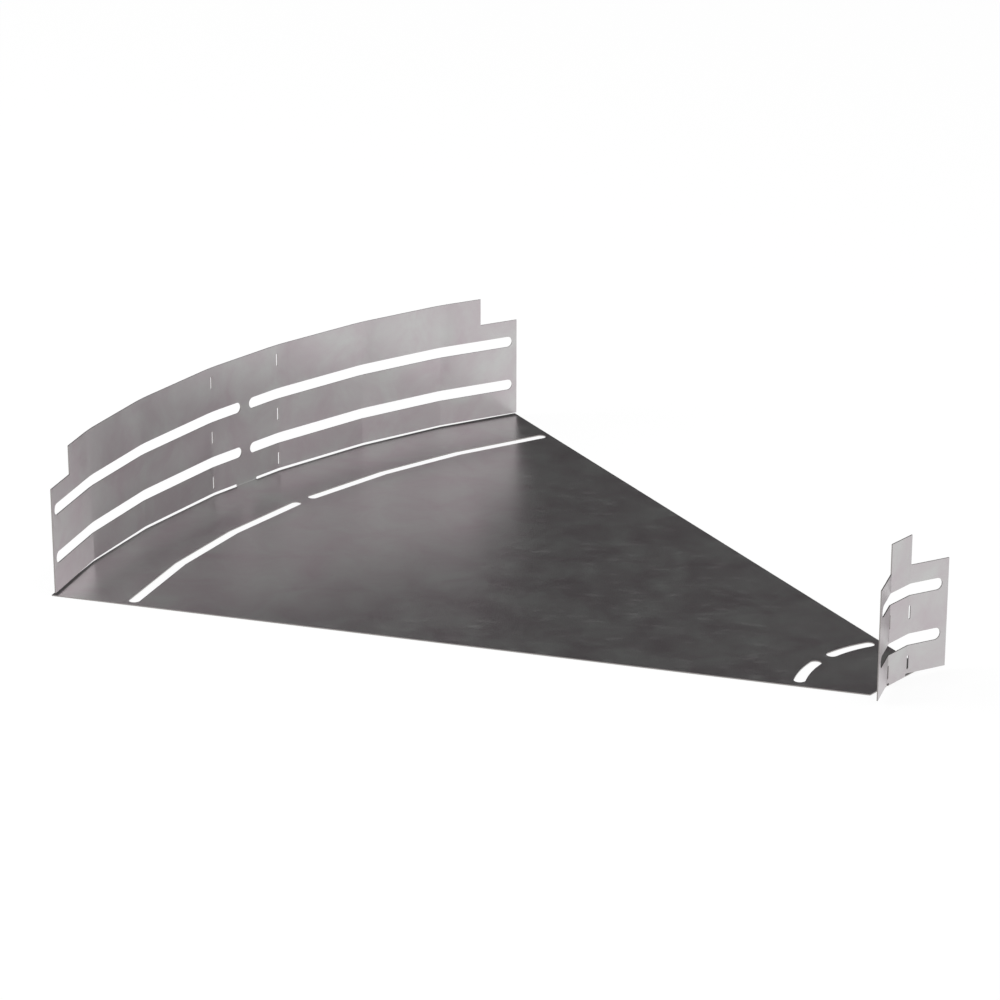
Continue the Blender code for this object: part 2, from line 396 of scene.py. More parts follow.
@dataclass(frozen=True)
class InnerWall(Wall):
    """The short wall: a middle facet as wide as its raised tab, and a free facet on each side.

    Attributes:
        radius: Bend centre to the wall's outside.
        middle: Length of the middle facet.
        end: Length of each end facet.
        bridge: Width of the bridge to the floor.
        notch: Width of the notch on each side of the bridge.
        relief: How far that notch reaches past the fold line.
        slot_end: Metal between a slot and the wall's end.
    """

    radius: float = 0.0732
    middle: float = 0.0235
    end: float = 0.0306
    bridge: float = 0.0195
    notch: float = 0.0016
    relief: float = 0.0009
    slot_end: float = 0.0048

    @property
    def face_x(self) -> float:
        """X of the wall's face on the tray's side."""
        return self.radius + self.sheet.thickness

    @property
    def fold_x(self) -> float:
        """X of the line where the bridge starts to fold up."""
        return self.face_x + self.sheet.fold_radius

    @property
    def marks(self) -> list[float]:
        """Distance along the strip from its middle to each crease."""
        return [self.middle / 2]

    @property
    def half(self) -> float:
        """Half of the strip's length."""
        return self.middle / 2 + self.end

    @property
    def crease(self) -> float:
        """Angle of each crease."""
        return self.half_turn

    @property
    def end_apothem(self) -> float:
        """Distance from the bend centre to the wall's outside, along an open end."""
        return self.radius * math.cos(self.half_turn) + self.middle / 2 * math.sin(self.half_turn)

    @property
    def slot_length(self) -> float:
        """Length of one bolt slot, over its round ends."""
        return 2 * (self.half - self.slot_end)

    def flat_x(self, height: float) -> float:
        """X in the flat blank of a point at this height over the underside."""
        return self.fold_x - self.sheet.fold_length - height + self.sheet.stands

    def outline(self) -> list[tuple[float, float]]:
        """Draw half of the strip's outline in the flat blank.

        Returns:
            Its corners, from the floor's corner to the tab.
        """
        top, lap, foot = (self.flat_x(z) for z in (self.top, self.lap, self.foot))
        bridge, relieved = self.bridge / 2, self.fold_x + self.relief
        return [
            (self.face_x, self.face_x * math.tan(self.half_turn)),
            (self.face_x, bridge + self.notch),
            (relieved, bridge + self.notch),
            (relieved, bridge),
            (foot, bridge),
            (foot, self.half),
            (lap, self.half),
            (lap, self.middle / 2),
            (top, self.middle / 2),
        ]

    def cuts(self) -> list[tuple[float, float, Cut]]:
        """Find the openings that repeat on this wall.

        Returns:
            The place in the flat blank and the kind of each.
        """
        found = [(self.flat_x(z), 0.0, Cut.INNER_SLOT) for z in self.openings.slot_heights]
        for side in (1, -1):
            for height in self.openings.slit_heights[:2]:
                found.append((self.flat_x(height), side * self.marks[0], Cut.INNER_SLIT))
        return found


@dataclass(frozen=True)
class OuterWall(Wall):
    """The long wall: a centre facet and three more on each side of it, up to the open end.

    Attributes:
        end_apothem: Distance from the bend centre to the wall's inside face, along an open end.
        creases: Creases on each side of the centre facet.
        centre: Length of the centre facet.
        second: Length of the facet next to it.
        third: Length of the facet after that.
        lap_length: Length of the lowered part at each end.
        bridge: Width of the bridge to the floor.
        relief: How far the floor's edge stands back from the fold line beside the bridge.
        slot_end: Metal between a slot and the wall's end.
        slot_web: Metal between the two slots of a row.
        crease_growth: Its creases are tight at the fold line, and bent softly by hand at the top.
        crease_ease: And its free sheet eases them further.
    """

    end_apothem: float = 0.0
    creases: int = 3
    centre: float = 0.0726
    second: float = 0.0854
    third: float = 0.0744
    lap_length: float = 0.0325
    bridge: float = 0.0213
    relief: float = 0.0003
    slot_end: float = 0.0041
    slot_web: float = 0.0092
    crease_growth: float = 1.5
    crease_ease: float = 0.65

    @property
    def crease(self) -> float:
        """Angle of each crease."""
        return self.half_turn / self.creases

    @property
    def face_x(self) -> float:
        """Find the centre facet from the place of the open end.

        Returns:
            X of its face on the tray's side.
        """
        falls = (self.centre / 2, self.second, self.third)
        reach = self.end_apothem
        for index, length in enumerate(falls):
            reach -= length * math.sin(self.half_turn - index * self.crease)
        return reach / math.cos(self.half_turn)

    @property
    def fold_x(self) -> float:
        """X of the line where the bridge starts to fold up."""
        return self.face_x - self.sheet.fold_radius

    @property
    def marks(self) -> list[float]:
        """Distance along the strip from its middle to each crease."""
        first = self.centre / 2
        return [first, first + self.second, first + self.second + self.third]

    @property
    def half(self) -> float:
        """Half of the strip's length."""
        corners = self.corners()
        return self.marks[-1] + (corners[3] - corners[2]).length

    @property
    def slot_length(self) -> float:
        """Length of one bolt slot, over its round ends."""
        return self.half - self.slot_end - self.slot_web / 2

    def corners(self) -> list[Vector]:
        """Follow the folded wall's inside face in plan.

        Returns:
            Its corners, from the centre facet to the open end.
        """
        found = [Vector((self.face_x, self.centre / 2))]
        found.append(found[-1] + heading(self.crease, self.second))
        found.append(found[-1] + heading(2 * self.crease, self.third))
        found.append(found[-1] - heading(self.half_turn, found[-1].dot(heading(self.half_turn, 1.0))))
        return found

    def flat_x(self, height: float) -> float:
        """X in the flat blank of a point at this height over the underside."""
        return self.fold_x + self.sheet.fold_length + height - self.sheet.stands

    def outline(self) -> list[tuple[float, float]]:
        """Draw half of the strip's outline in the flat blank.

        Returns:
            Its corners, from the top edge to the bridge.
        """
        top, lap, foot = (self.flat_x(z) for z in (self.top, self.lap, self.foot))
        return [
            (top, self.half - self.lap_length),
            (lap, self.half - self.lap_length),
            (lap, self.half),
            (foot, self.half),
            (foot, self.bridge / 2),
            (self.fold_x - self.relief, self.bridge / 2),
        ]

    def cuts(self) -> list[tuple[float, float, Cut]]:
        """Find the openings that repeat on this wall.

        Returns:
            The place in the flat blank and the kind of each.
        """
        middle = (self.slot_web + self.slot_length) / 2
        found = []
        for side in (1, -1):
            for height in self.openings.slot_heights:
                found.append((self.flat_x(height), side * middle, Cut.OUTER_SLOT))
            for height in self.openings.slit_heights:
                found.append((self.flat_x(height), side * self.marks[0], Cut.OUTER_SLIT))
        return found


@dataclass(frozen=True)
class Floor:
    """The flat floor between the walls, with a cranked and a curved pair of bolt slots.

    Attributes:
        outer: The wall along its long edge.
        inner: The wall along its short edge.
        half_turn: Half of the bend's angle.
        overhang: How far its outer corner reaches past the wall's inside face.
        slot: Width of its slots.
        slot_web: Metal between the two slots of a pair.
        cranked_inset: Outer wall's face to the cranked slot's centre line.
        cranked_end: Metal between that slot and the open end.
        crank_lean: First run of the cranked slot, against the wall's centre facet.
        crank_runs: Length of its first two runs.
        curved_inset: Inner wall's face to the curved slot's centre line.
        curved_radius: Radius of that centre line.
        curved_end: Metal between that slot and the open end.
        end_steps: Straight pieces in a round end.
        curve_steps: Straight pieces along the curved slot.
    """

    outer: OuterWall
    inner: InnerWall
    half_turn: float
    overhang: float = 0.0031
    slot: float = 0.0082
    slot_web: float = 0.0114
    cranked_inset: float = 0.0598
    cranked_end: float = 0.0043
    crank_lean: float = math.radians(4.35)
    crank_runs: tuple[float, float] = (0.0843, 0.0727)
    curved_inset: float = 0.0600
    curved_radius: float = 0.0923
    curved_end: float = 0.0059
    end_steps: int = 20
    curve_steps: int = 36

    def rim(self) -> list[tuple[float, float]]:
        """Follow the floor's outer edge, which leaves the wall's face towards the open ends.

        Returns:
            Its corners, from the bridge to the open end.
        """
        setback = self.outer.sheet.fold_radius + self.outer.relief
        crease, creases = self.outer.crease, self.outer.creases
        found = []
        for index, corner in enumerate(self.outer.corners()):
            angle = min(index + 0.5, creases) * crease
            past = (setback + self.overhang) * (index / creases) ** 2 - setback
            found.append(corner + facing(angle) * past)
        found[0].x = self.outer.fold_x - self.outer.relief
        last, before = found[-1], found[-2]
        run, slope = last - before, math.tan(self.half_turn)
        share = (slope * before.x - before.y) / (run.y - slope * run.x)
        found[-1] = before + run * share
        return [tuple(corner) for corner in found]

    def cranked_path(self) -> list[Vector]:
        """Lay out the cranked slot on the positive side of Y.

        Returns:
            Points of its centre line, from the middle of the bend outwards.
        """
        found = [Vector((self.outer.face_x - self.cranked_inset, 0.0))]
        lean = self.crank_lean
        for length in self.crank_runs:
            found.append(found[-1] + heading(lean, length))
            lean += self.outer.crease
        last = found[-1]
        gap = (last.x * math.tan(self.half_turn) - last.y) * math.cos(self.half_turn)
        rest = gap - self.cranked_end - self.slot / 2
        found.append(last + heading(lean, rest / math.cos(self.half_turn - lean)))
        start = (self.slot_web + self.slot) / 2
        found[0] += heading(self.crank_lean, start / math.cos(self.crank_lean))
        return found

    def curved_path(self) -> list[Vector]:
        """Lay out the curved slot on the positive side of Y.

        Returns:
            Points of its centre line, from the middle of the bend outwards.
        """
        centre_x = self.inner.face_x + self.curved_inset - self.curved_radius
        first = math.asin((self.slot_web + self.slot) / 2 / self.curved_radius)
        margin = self.curved_end + self.slot / 2
        reach = (centre_x * math.sin(self.half_turn) - margin) / self.curved_radius
        swing = self.half_turn + math.asin(reach) - first
        angles = [first + swing * step / self.curve_steps for step in range(self.curve_steps + 1)]
        return [Vector((centre_x, 0.0)) + facing(angle) * self.curved_radius for angle in angles]

    def slots(self) -> list[list[tuple[float, float]]]:
        """Draw the four slots.

        Returns:
            The outline of each.
        """
        found = []
        for path in (self.cranked_path(), self.curved_path()):
            for side in (1, -1):
                line = [Vector((point.x, side * point.y)) for point in path]
                found.append(slot_outline(line, self.slot, self.end_steps))
        return found


@dataclass(frozen=True)
class ColdRolledSteel:
    """Bare cold-rolled steel sheet: a soft grey mirror with clouds of oil film and small roll flecks.

    Attributes:
        bright: Reflection colour where the surface is clean.
        dull: Reflection colour under the oil film.
        roughness: Roughness between the patches' extremes.
        roughness_spread: How far the roughness strays from that.
        cloud: Size of the cloudy patches.
        cloud_detail: How many times finer clouds are added to those.
        cloud_breakup: How much the finer clouds count.
        cloud_swirl: How far the clouds are drawn out by the rolls.
        cloud_edges: Share of the pattern at which a cloud starts, and at which it is full.
        fleck: Length and width of a roll fleck. Real ones are a tenth as wide, too fine to see here.
        fleck_edges: Share of the pattern at which a fleck starts, and at which it is full.
        fleck_roughness: How much rougher the sheet is in a fleck.
        rolling: Direction of rolling in the flat blank, from X.
        wave: Length of the sheet's slight waves.
        wave_height: Height of those waves.
    """

    bright: str = "#C3C3C2"
    dull: str = "#BBB2B6"
    roughness: float = 0.30
    roughness_spread: float = 0.02
    cloud: float = 34 * MM
    cloud_detail: float = 5.0
    cloud_breakup: float = 0.62
    cloud_swirl: float = 0.6
    cloud_edges: tuple[float, float] = (0.32, 0.68)
    fleck: tuple[float, float] = (16 * MM, 5 * MM)
    fleck_edges: tuple[float, float] = (0.56, 0.76)
    fleck_roughness: float = 0.05
    rolling: float = math.radians(39)
    wave: float = 70 * MM
    wave_height: float = 0.12 * MM

    def build(self) -> bpy.types.Material:
        """Make the material.

        Returns:
            A metal whose colour, gloss and slight waviness vary over the flat blank.
        """
        material = bpy.data.materials.new("cold_rolled_steel")
        material.use_nodes = True
        tree = material.node_tree
        shader = tree.nodes["Principled BSDF"]
        shader.inputs["Metallic"].default_value = 1.0
        blank = add_node(tree, "ShaderNodeUVMap", uv_map=PLAN_MAP).outputs["UV"]
        rolled = add_node(tree, "ShaderNodeMapping", {
            "Vector": blank,
            "Rotation": (0.0, 0.0, self.rolling),
            "Scale": (self.fleck[0], self.fleck[1], 1.0),
        }, vector_type="TEXTURE")
        clouds = add_node(tree, "ShaderNodeTexNoise", {
            "Vector": blank,
            "Scale": 1 / self.cloud,
            "Detail": self.cloud_detail,
            "Roughness": self.cloud_breakup,
            "Distortion": self.cloud_swirl,
        })
        # The flecks are smooth in themselves, and so are the waves: one finer layer, weakly.
        smooth = {"Detail": 1.0, "Roughness": 0.4}
        flecks = add_node(tree, "ShaderNodeTexNoise", {
            "Vector": rolled.outputs["Vector"], "Scale": 1.0, **smooth,
        })
        waves = add_node(tree, "ShaderNodeTexNoise", {
            "Vector": blank, "Scale": 1 / self.wave, **smooth,
        })
        spread = add_node(tree, "ShaderNodeMapRange", {
            "Value": clouds.outputs["Fac"], "From Min": self.cloud_edges[0], "From Max": self.cloud_edges[1],
        }).outputs["Result"]
        sparse = add_node(tree, "ShaderNodeMapRange", {
            "Value": flecks.outputs["Fac"],
            "From Min": self.fleck_edges[0],
            "From Max": self.fleck_edges[1],
            "To Max": self.fleck_roughness,
        }).outputs["Result"]
        colour = add_node(tree, "ShaderNodeMix", {
            "Factor": spread, "A": linear(self.dull), "B": linear(self.bright),
        }, data_type="RGBA")
        patchy = add_node(tree, "ShaderNodeMapRange", {
            "Value": spread,
            "To Min": self.roughness - self.roughness_spread,
            "To Max": self.roughness + self.roughness_spread,
        }).outputs["Result"]
        values = {"patchy": patchy, "sparse": sparse}
        calculate(tree, values, (("rough", "ADD", "patchy", "sparse"),))
        bump = add_node(tree, "ShaderNodeBump", {
            "Height": waves.outputs["Fac"], "Strength": 1.0, "Distance": self.wave_height,
        })
        tree.links.new(colour.outputs["Result"], shader.inputs["Base Color"])
        tree.links.new(values["rough"], shader.inputs["Roughness"])
        tree.links.new(bump.outputs["Normal"], shader.inputs["Normal"])
        return material


@dataclass(frozen=True)
class PunchedEdge:
    """The sheet's punched and sheared edges: torn steel, duller than the rolled faces. Their darker colour
    is painted shade for the dim reflections that the edges show.

    Attributes:
        colour: Reflection colour, darkened as painted shade.
        roughness: Roughness of the torn steel.
        roughness_spread: How far the roughness strays from that.
        grain: Spacing of the shear lines across the edge.
    """

    colour: str = "#999593"
    roughness: float = 0.35
    roughness_spread: float = 0.08
    grain: float = 0.9 * MM

    def build(self) -> bpy.types.Material:
        """Make the material.

        Returns:
            A dull metal, darkened by painted shade, whose gloss varies slightly along the cut.
        """
        material = bpy.data.materials.new("punched_edge_painted_shade")
        material.use_nodes = True
        tree = material.node_tree
        shader = tree.nodes["Principled BSDF"]
        shader.inputs["Metallic"].default_value = 1.0
        # The darker colour is painted shade: it stands in for the cut edges' dim reflections.
        shader.inputs["Base Color"].default_value = linear(self.colour)
        spot = add_node(tree, "ShaderNodeTexCoord").outputs["Object"]
        noise = add_node(tree, "ShaderNodeTexNoise", {"Vector": spot, "Scale": 1 / self.grain})
        rough = add_node(tree, "ShaderNodeMapRange", {
            "Value": noise.outputs["Fac"],
            "To Min": self.roughness - self.roughness_spread,
            "To Max": self.roughness + self.roughness_spread,
        })
        tree.links.new(rough.outputs["Result"], shader.inputs["Roughness"])
        return material


@dataclass
class PunchPress:
    """Punches the flat blank out of the sheet, with a Geometry Nodes tree.

    Attributes:
        sheet: The steel.
        openings: Slots and slits of the walls.
        outer: The long wall.
        inner: The short wall.
        floor: The floor.
    """

    sheet: Sheet
    openings: Openings
    outer: OuterWall
    inner: InnerWall
    floor: Floor

    def tree(self) -> bpy.types.GeometryNodeTree:
        """Build the tree that punches marked openings into a drawn outline and gives it thickness.

        Returns:
            The tree. It runs on the marks, and the outline is one of its inputs.
        """
        tree = start_tree("punched_blank", {
            "Marks": "NodeSocketGeometry",
            "Outline": "NodeSocketObject",
            "Thickness": "NodeSocketFloat",
            "Slot width": "NodeSocketFloat",
            "Outer slot length": "NodeSocketFloat",
            "Inner slot length": "NodeSocketFloat",
            "Outer slit width": "NodeSocketFloat",
            "Inner slit width": "NodeSocketFloat",
            "Slit length": "NodeSocketFloat",
            "End steps": "NodeSocketInt",
            "Rolled face": "NodeSocketMaterial",
            "Cut face": "NodeSocketMaterial",
        }, {"Blank": "NodeSocketGeometry"})
        given = add_node(tree, "NodeGroupInput").outputs
        kind = add_node(tree, "GeometryNodeInputNamedAttribute", {"Name": CUT_KIND}, data_type="INT")
        outline = add_node(tree, "GeometryNodeObjectInfo", {"Object": given["Outline"]})
        curves = [outline.outputs["Geometry"]]
        shapes = (
            (Cut.OUTER_SLOT, "Slot width", "Outer slot length", "Slot width"),
            (Cut.INNER_SLOT, "Slot width", "Inner slot length", "Slot width"),
            (Cut.OUTER_SLIT, "Slit length", "Outer slit width", "Outer slit width"),
            (Cut.INNER_SLIT, "Slit length", "Inner slit width", "Inner slit width"),
        )
        for cut, along_x, along_y, narrow in shapes:
            block = add_node(tree, "GeometryNodeCurvePrimitiveQuadrilateral", {
                "Width": given[along_x], "Height": given[along_y],
            })
            values = {narrow: given[narrow]}
            calculate(tree, values, (("radius", "DIVIDE", narrow, 2.0),))
            rounded = add_node(tree, "GeometryNodeFilletCurve", {
                "Curve": block.outputs["Curve"],
                "Count": given["End steps"],
                "Radius": values["radius"],
                "Limit Radius": True,
            }, mode="POLY")
            marked = add_node(tree, "FunctionNodeCompare", {
                "A": kind.outputs["Attribute"], "B": cut.value,
            }, data_type="INT", operation="EQUAL")
            punched = add_node(tree, "GeometryNodeInstanceOnPoints", {
                "Points": given["Marks"],
                "Selection": marked.outputs["Result"],
                "Instance": rounded.outputs["Curve"],
            })
            curves.append(punched.outputs["Instances"])
        joined = add_node(tree, "GeometryNodeJoinGeometry", {"Geometry": curves})
        lines = add_node(tree, "GeometryNodeRealizeInstances", {"Geometry": joined.outputs[0]})
        under = add_node(tree, "GeometryNodeFillCurve", {"Curve": lines.outputs[0]}, mode="NGONS")
        raised = add_node(tree, "GeometryNodeExtrudeMesh", {
            "Mesh": under.outputs["Mesh"], "Offset Scale": given["Thickness"], "Individual": False,
        }, mode="FACES")
        sides = add_node(tree, "GeometryNodeStoreNamedAttribute", {
            "Geometry": raised.outputs["Mesh"], "Name": CUT_FACE, "Value": raised.outputs["Side"],
        }, data_type="BOOLEAN", domain="FACE")
        turned = add_node(tree, "GeometryNodeFlipFaces", {"Mesh": under.outputs["Mesh"]})
        shell = add_node(tree, "GeometryNodeJoinGeometry", {
            "Geometry": [sides.outputs["Geometry"], turned.outputs["Mesh"]],
        })
        closed = add_node(tree, "GeometryNodeMergeByDistance", {
            "Geometry": shell.outputs[0], "Distance": TINY,
        })
        finish_tree(tree, closed.outputs[0], given, "Blank")
        return tree

    def outline(self) -> bpy.types.Object:
        """Draw the blank's edge and the floor's slots.

        Returns:
            A flat curve with a closed line for each.
        """
        half = self.outer.outline() + self.floor.rim() + self.inner.outline()
        edge = half + [(x, -y) for x, y in reversed(half)]
        curve = bpy.data.curves.new("blank_outline", "CURVE")
        curve.dimensions = "3D"
        for points in [edge] + self.floor.slots():
            spline = curve.splines.new("POLY")
            spline.points.add(len(points) - 1)
            for point, (x, y) in zip(spline.points, points):
                point.co = (x, y, 0.0, 1.0)
            spline.use_cyclic_u = True
        return place("blank_outline", curve)

    def marks(self) -> bpy.types.Object:
        """Mark the middle of each opening that repeats.

        Returns:
            A point for each, which knows its kind.
        """
        cuts = self.outer.cuts() + self.inner.cuts()
        mesh = bpy.data.meshes.new("punch_marks")
        mesh.from_pydata([(x, y, 0.0) for x, y, cut in cuts], [], [])
        kinds = mesh.attributes.new(CUT_KIND, "INT", "POINT")
        kinds.data.foreach_set("value", [cut.value for x, y, cut in cuts])
        return place("punch_marks", mesh)

    def build(self, rolled: bpy.types.Material, cut: bpy.types.Material) -> bpy.types.Mesh:
        """Punch the blank.

        Args:
            rolled: Finish of the sheet's two faces.
            cut: Finish of its cut edges.

        Returns:
            The flat blank, underside at height 0.
        """
        outline = self.outline()
        mesh = run_tree(self.marks(), self.tree(), {
            "Outline": outline,
            "Thickness": self.sheet.thickness,
            "Slot width": self.openings.slot,
            "Outer slot length": self.outer.slot_length,
            "Inner slot length": self.inner.slot_length,
            "Outer slit width": self.openings.outer_slit,
            "Inner slit width": self.openings.inner_slit,
            "Slit length": self.openings.slit_length,
            "End steps": self.openings.end_steps,
            "Rolled face": rolled,
            "Cut face": cut,
        })
        bpy.data.objects.remove(outline)
        return mesh


@dataclass
class PressBrake:
    """Scores the flat blank and folds it up, with a Geometry Nodes tree.

    Attributes:
        sheet: The steel.
        outer: The long wall.
        inner: The short wall.
    """

    sheet: Sheet
    outer: OuterWall
    inner: InnerWall

    def score(self, mesh: bpy.types.Mesh) -> None:
        """Cut edges into the blank along every line where it bends.

        Args:
            mesh: The flat blank, changed in place.
        """
        blank = bmesh.new()
        blank.from_mesh(mesh)
        for wall in (self.outer, self.inner):
            foot = wall.flat_x(wall.foot)
            away = math.copysign(self.sheet.fold_length, foot - wall.fold_x)
            steps = self.sheet.fold_steps
            for x in [wall.fold_x + away * step / steps for step in range(steps + 1)] + [foot]:
                self.split(blank, blank.faces[:], (x, 0.0, 0.0), (1.0, 0.0, 0.0))
            for line in [mark + offset for mark in wall.marks for offset in wall.crease_lines()]:
                for y in (line, -line):
                    strip = [face for face in blank.faces if self.beyond(face, foot, away)]
                    self.split(blank, strip, (0.0, y, 0.0), (0.0, 1.0, 0.0))
        blank.to_mesh(mesh)
        blank.free()

    @staticmethod
    def beyond(face: bmesh.types.BMFace, foot: float, away: float) -> bool:
        """Say whether a face lies past a wall's foot line, on the wall's side of it."""
        return (face.calc_center_median().x - foot) * away > 0.0

    @staticmethod
    def split(blank: bmesh.types.BMesh, faces: list[bmesh.types.BMFace], point: tuple[float, float, float],
              normal: tuple[float, float, float]) -> None:
        """Cut edges into the blank where a plane crosses it.

        Args:
            blank: The flat blank, changed in place.
            faces: The faces that are cut.
            point: A point of the plane.
            normal: The direction square to it.
        """
        edges = {edge for face in faces for edge in face.edges}
        verts = {vert for face in faces for vert in face.verts}
        geometry = list(verts) + list(edges) + list(faces)
        bmesh.ops.bisect_plane(blank, geom=geometry, dist=TINY / 10, plane_co=point, plane_no=normal)

    @staticmethod
    def bend_tree() -> bpy.types.GeometryNodeTree:
        """Build the group that bends a section of the sheet once.

        A point of the section lies so far along the sheet and so far up through it. Everything
        before the start stays, the next stretch goes round, and the rest follows straight.

        Returns:
            A group from a point's old place in the section to its new one.
        """
        floats = ("Along", "Up", "Start", "Angle", "Radius", "Thickness", "Side")
        tree = start_tree("bend_once", dict.fromkeys(floats, "NodeSocketFloat"),
                          dict.fromkeys(("Along", "Up"), "NodeSocketFloat"))
        given = add_node(tree, "NodeGroupInput").outputs
        values = {name: given[name] for name in floats}
        calculate(tree, values, (
            ("middle", "MULTIPLY", "Thickness", 0.5),
            ("inside", "ADD", "Radius", "Thickness"),
            ("neutral", "ADD", "Radius", "middle"),
            ("arc", "MULTIPLY", "neutral", "Angle"),
            # A bend to the other side is the same bend with the sheet turned over.
            ("off middle", "SUBTRACT", "Up", "middle"),
            ("up", "MULTIPLY_ADD", "off middle", "Side", "middle"),
            ("past", "SUBTRACT", "Along", "Start"),
            ("past start", "MAXIMUM", "past", 0.0),
            ("in arc", "MINIMUM", "past start", "arc"),
            ("turned", "DIVIDE", "in arc", "neutral"),
            ("past arc", "SUBTRACT", "past", "arc"),
            ("beyond", "MAXIMUM", "past arc", 0.0),
            ("before", "MINIMUM", "Along", "Start"),
            ("reach", "SUBTRACT", "inside", "up"),
            ("sine", "SINE", "turned"),
            ("cosine", "COSINE", "turned"),
            ("round", "MULTIPLY_ADD", "reach", "sine", "before"),
            ("new along", "MULTIPLY_ADD", "beyond", "cosine", "round"),
            ("climbed", "MULTIPLY_ADD", "beyond", "sine", "inside"),
            ("sunk", "MULTIPLY", "reach", "cosine"),
            ("raised", "SUBTRACT", "climbed", "sunk"),
            ("raised off middle", "SUBTRACT", "raised", "middle"),
            ("new up", "MULTIPLY_ADD", "raised off middle", "Side", "middle"),
        ))
        add_node(tree, "NodeGroupOutput", {"Along": values["new along"], "Up": values["new up"]})
        return tree

    def tree(self) -> bpy.types.GeometryNodeTree:
        """Build the tree that folds the scored blank up into the bend.

        Returns:
            The tree. It runs on the blank.
        """
        lengths = ["Thickness", "Fold radius", "Bridge edge", "Face line", "Tolerance"]
        for label, wall in (("Outer", self.outer), ("Inner", self.inner)):
            lengths += [f"{label} fold line", f"{label} crease angle"]
            lengths += [f"{label} crease radius", f"{label} crease growth"]
            lengths += [f"{label} crease {number + 1}" for number in range(len(wall.marks))]
        tree = start_tree("folded_bend", {
            "Blank": "NodeSocketGeometry",
            **dict.fromkeys(lengths, "NodeSocketFloat"),
            "Rolled face": "NodeSocketMaterial",
            "Cut face": "NodeSocketMaterial",
        }, {"Bend": "NodeSocketGeometry"})
        given = add_node(tree, "NodeGroupInput").outputs
        flat = add_node(tree, "GeometryNodeInputPosition").outputs[0]
        mapped = add_node(tree, "GeometryNodeStoreNamedAttribute", {
            "Geometry": given["Blank"], "Name": PLAN_MAP, "Value": flat,
        }, data_type="FLOAT2", domain="CORNER")
        spot = add_node(tree, "ShaderNodeSeparateXYZ", {0: flat}).outputs
        values = {name: given[name] for name in lengths} | {axis: spot[axis] for axis in "XYZ"}
        calculate(tree, values, (
            ("reach", "ABSOLUTE", "Y"),
            ("hand", "SIGN", "Y"),
            ("bridge limit", "ADD", "Bridge edge", "Tolerance"),
            ("past bridge", "GREATER_THAN", "reach", "bridge limit"),
            ("face limit", "SUBTRACT", "Face line", "Tolerance"),
            ("past face", "GREATER_THAN", "X", "face limit"),
            ("beside", "MULTIPLY", "past bridge", "past face"),
            ("not beside", "SUBTRACT", 1.0, "beside"),
        ))
        shape = mapped.outputs["Geometry"]
        group = self.bend_tree()
        moves = []
        for label, wall, away in (("Outer", self.outer, 1.0), ("Inner", self.inner, -1.0)):
            calculate(tree, values, (
                ("from line", "SUBTRACT", "X", f"{label} fold line"),
                ("walked", "MULTIPLY", "from line", away),
                ("on wall", "GREATER_THAN", "walked", "Tolerance"),
                ("up wall", "MAXIMUM", "walked", 0.0),
                ("radius", "MULTIPLY_ADD", "up wall", f"{label} crease growth", f"{label} crease radius"),
                ("half radius", "MULTIPLY", "radius", 0.5),
                ("half neutral", "MULTIPLY_ADD", "Thickness", 0.25, "half radius"),
                ("half arc", "MULTIPLY", f"{label} crease angle", "half neutral"),
            ))
            if wall is self.inner:
                calculate(tree, values, (("on wall", "MULTIPLY", "on wall", "not beside"),))
            along, up = values["reach"], values["Z"]
            # The crease nearest the open end comes first, while the strip is still flat.
            for number in range(len(wall.marks), 0, -1):
                calculate(tree, values, (("start", "SUBTRACT", f"{label} crease {number}", "half arc"),))
                ends = add_node(tree, "GeometryNodeGroup", {
                    "Along": along,
                    "Up": up,
                    "Start": values["start"],
                    "Angle": given[f"{label} crease angle"],
                    "Radius": values["radius"],
                    "Thickness": given["Thickness"],
                    "Side": away,
                }, node_tree=group).outputs
                along, up = ends["Along"], ends["Up"]
            ends = add_node(tree, "GeometryNodeGroup", {
                "Along": values["walked"],
                "Up": up,
                "Start": 0.0,
                "Angle": math.pi / 2,
                "Radius": given["Fold radius"],
                "Thickness": given["Thickness"],
                "Side": 1.0,
            }, node_tree=group).outputs
            values |= {"out": ends["Along"], "along wall": along}
            calculate(tree, values, (
                ("new x", "MULTIPLY_ADD", "out", away, f"{label} fold line"),
                ("new y", "MULTIPLY", "along wall", "hand"),
            ))
            there = add_node(tree, "ShaderNodeCombineXYZ", {
                "X": values["new x"], "Y": values["new y"], "Z": ends["Up"],
            })
            stored = add_node(tree, "GeometryNodeCaptureAttribute", {"Geometry": shape})
            stored.capture_items.new("VECTOR", "place")
            stored.capture_items.new("FLOAT", "part")
            tree.links.new(there.outputs[0], stored.inputs["place"])
            tree.links.new(values["on wall"], stored.inputs["part"])
            shape = stored.outputs["Geometry"]
            moves.append((stored.outputs["part"], stored.outputs["place"]))
        for part, there in moves:
            moved = add_node(tree, "GeometryNodeSetPosition", {
                "Geometry": shape, "Selection": part, "Position": there,
            })
            shape = moved.outputs["Geometry"]
        finish_tree(tree, shape, given, "Bend")
        return tree

